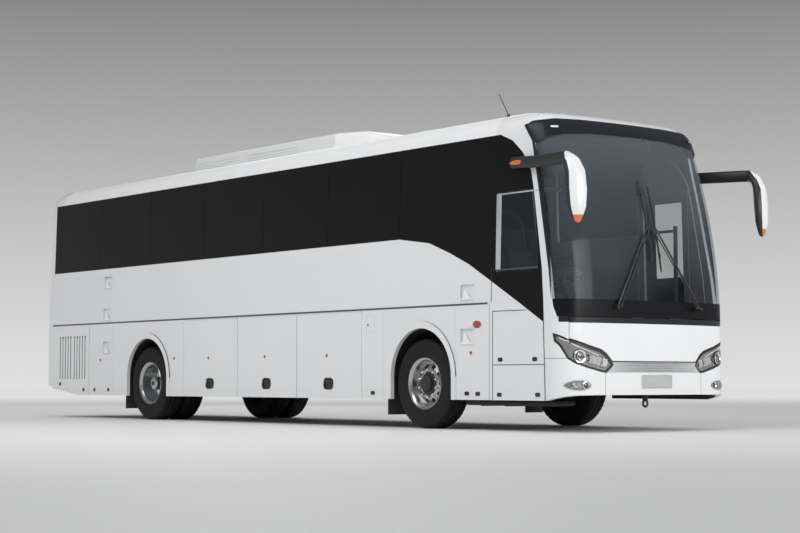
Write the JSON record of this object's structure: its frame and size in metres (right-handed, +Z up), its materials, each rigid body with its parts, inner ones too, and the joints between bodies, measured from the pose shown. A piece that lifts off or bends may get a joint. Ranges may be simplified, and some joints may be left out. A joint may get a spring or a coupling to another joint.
{
  "type": "two-axle high-floor passenger bus",
  "caption": "White high-floor airport passenger bus with dark glass band, raked curved front, roof air conditioner, luggage doors, swinging entrance door and steered front wheels.",
  "frame": {"origin": "on the ground under the middle of the bus, mirrors included", "axes": "+X forward, +Y to the left, +Z up"},
  "size_m": [12.2907, 3.0978, 3.7584],
  "materials": {
    "white_paint": "gloss",
    "ac_plastic": "satin",
    "dark_glass": "gloss",
    "front_glass": "gloss",
    "black_gloss": "gloss",
    "black_plastic": "satin",
    "grey_plastic": "satin",
    "lamp_clear": "gloss",
    "lamp_red": "gloss",
    "lamp_amber": "gloss",
    "chassis_black": "satin",
    "engine_iron": "matte",
    "floor_grey": "matte",
    "flap_rubber": "matte",
    "tyre_rubber": "matte",
    "rim_steel": "satin",
    "seat_fabric": "matte"
  },
  "bodies": {
    "bus_body": {"underframe": "chassis_black", "floor_deck": "floor_grey", "side_walls": "white_paint", "side_glass": "dark_glass", "skirts": "white_paint", "roof_shell": "white_paint", "roof_ac": "ac_plastic", "antenna": "black_plastic", "front_mask": "white_paint", "cowl_panel": "black_gloss", "windshield": "front_glass", "visor": "black_gloss", "front_grille": "grey_plastic", "front_bumper": "white_paint", "headlamps": "lamp_clear", "fog_lamps": "lamp_clear", "wipers": "black_plastic", "mirror_arms": "black_plastic", "mirror_heads": "white_paint", "mirror_lamps": "lamp_amber", "side_markers": "lamp_amber", "tow_eyes": "chassis_black", "mud_flaps": "flap_rubber", "rear_wall": "white_paint", "rear_glass": "dark_glass", "rear_bumper": "white_paint", "tail_lamps": "lamp_red", "front_axle": "chassis_black", "rear_axle": "chassis_black", "engine": "engine_iron", "dashboard": "black_plastic", "steering_wheel": "black_plastic", "driver_seat": "seat_fabric", "passenger_seats": "seat_fabric"},
    "steer_right": {"knuckle_right": "chassis_black"},
    "steer_left": {"knuckle_left": "chassis_black"},
    "wheel_front_right": {"tyre_front_right": "tyre_rubber", "rim_front_right": "rim_steel"},
    "wheel_front_left": {"tyre_front_left": "tyre_rubber", "rim_front_left": "rim_steel"},
    "wheel_rear_right": {"tyres_rear_right": "tyre_rubber", "rims_rear_right": "rim_steel"},
    "wheel_rear_left": {"tyres_rear_left": "tyre_rubber", "rims_rear_left": "rim_steel"},
    "front_flap_body": {"front_flap": "white_paint", "flap_hinges": "chassis_black"},
    "engine_hatch_body": {"engine_hatch": "white_paint", "hatch_hinges": "chassis_black"},
    "door_arm_body": {"door_arm": "chassis_black"},
    "passenger_door_body": {"passenger_door": "white_paint", "door_glass": "dark_glass"},
    "luggage_door_right_1_body": {"luggage_door_right_1": "white_paint"},
    "luggage_door_right_2_body": {"luggage_door_right_2": "white_paint"},
    "luggage_door_right_3_body": {"luggage_door_right_3": "white_paint"},
    "luggage_door_left_1_body": {"luggage_door_left_1": "white_paint"},
    "luggage_door_left_2_body": {"luggage_door_left_2": "white_paint"},
    "luggage_door_left_3_body": {"luggage_door_left_3": "white_paint"}
  },
  "joints": [
    {"name": "steer_left", "type": "hinge", "parent": "bus_body", "child": "steer_left", "pos_m": [3.305, 0.9, 0.515], "axis": [0, 0, 1], "range_deg": [-40, 40]},
    {"name": "steer_right", "type": "hinge", "parent": "bus_body", "child": "steer_right", "pos_m": [3.305, -0.9, 0.515], "axis": [0, 0, 1], "range_deg": [-40, 40]},
    {"name": "spin_front_right", "type": "hinge", "parent": "steer_right", "child": "wheel_front_right", "pos_m": [3.305, -1.087, 0.515], "axis": [0, 1, 0], "continuous": true},
    {"name": "spin_rear_right", "type": "hinge", "parent": "bus_body", "child": "wheel_rear_right", "pos_m": [-2.935, -1.087, 0.515], "axis": [0, 1, 0], "continuous": true},
    {"name": "spin_front_left", "type": "hinge", "parent": "steer_left", "child": "wheel_front_left", "pos_m": [3.305, 1.087, 0.515], "axis": [0, 1, 0], "continuous": true},
    {"name": "spin_rear_left", "type": "hinge", "parent": "bus_body", "child": "wheel_rear_left", "pos_m": [-2.935, 1.087, 0.515], "axis": [0, 1, 0], "continuous": true},
    {"name": "luggage_door_right_1_lift", "type": "hinge", "parent": "bus_body", "child": "luggage_door_right_1_body", "pos_m": [1.4825, -1.275, 1.38], "axis": [-1, 0, 0], "range_deg": [0, 95]},
    {"name": "luggage_door_right_2_lift", "type": "hinge", "parent": "bus_body", "child": "luggage_door_right_2_body", "pos_m": [0.1115, -1.275, 1.38], "axis": [-1, 0, 0], "range_deg": [0, 95]},
    {"name": "luggage_door_right_3_lift", "type": "hinge", "parent": "bus_body", "child": "luggage_door_right_3_body", "pos_m": [-1.2595, -1.275, 1.38], "axis": [-1, 0, 0], "range_deg": [0, 95]},
    {"name": "luggage_door_left_1_lift", "type": "hinge", "parent": "bus_body", "child": "luggage_door_left_1_body", "pos_m": [1.4825, 1.275, 1.38], "axis": [1, 0, 0], "range_deg": [0, 95]},
    {"name": "luggage_door_left_2_lift", "type": "hinge", "parent": "bus_body", "child": "luggage_door_left_2_body", "pos_m": [0.1115, 1.275, 1.38], "axis": [1, 0, 0], "range_deg": [0, 95]},
    {"name": "luggage_door_left_3_lift", "type": "hinge", "parent": "bus_body", "child": "luggage_door_left_3_body", "pos_m": [-1.2595, 1.275, 1.38], "axis": [1, 0, 0], "range_deg": [0, 95]},
    {"name": "front_flap_lift", "type": "hinge", "parent": "bus_body", "child": "front_flap_body", "pos_m": [5.801, 0, 1.2187], "axis": [0, -1, 0], "range_deg": [0, 80]},
    {"name": "engine_hatch_lift", "type": "hinge", "parent": "bus_body", "child": "engine_hatch_body", "pos_m": [-6.137, 0, 1.8787], "axis": [0, 1, 0], "range_deg": [0, 85]},
    {"name": "door_swing", "type": "hinge", "parent": "bus_body", "child": "door_arm_body", "pos_m": [5.01, 1.15, 1.2], "axis": [0, 0, -1], "range_deg": [0, 120]},
    {"name": "door_turn", "type": "hinge", "parent": "door_arm_body", "child": "passenger_door_body", "pos_m": [4.56, 1.15, 1.2], "axis": [0, 0, -1], "range_deg": [-120, 0]}
  ],
  "couplings": [
    {"joint": "steer_right", "follows": "steer_left", "ratio": 1},
    {"joint": "door_turn", "follows": "door_swing", "ratio": -1}
  ]
}
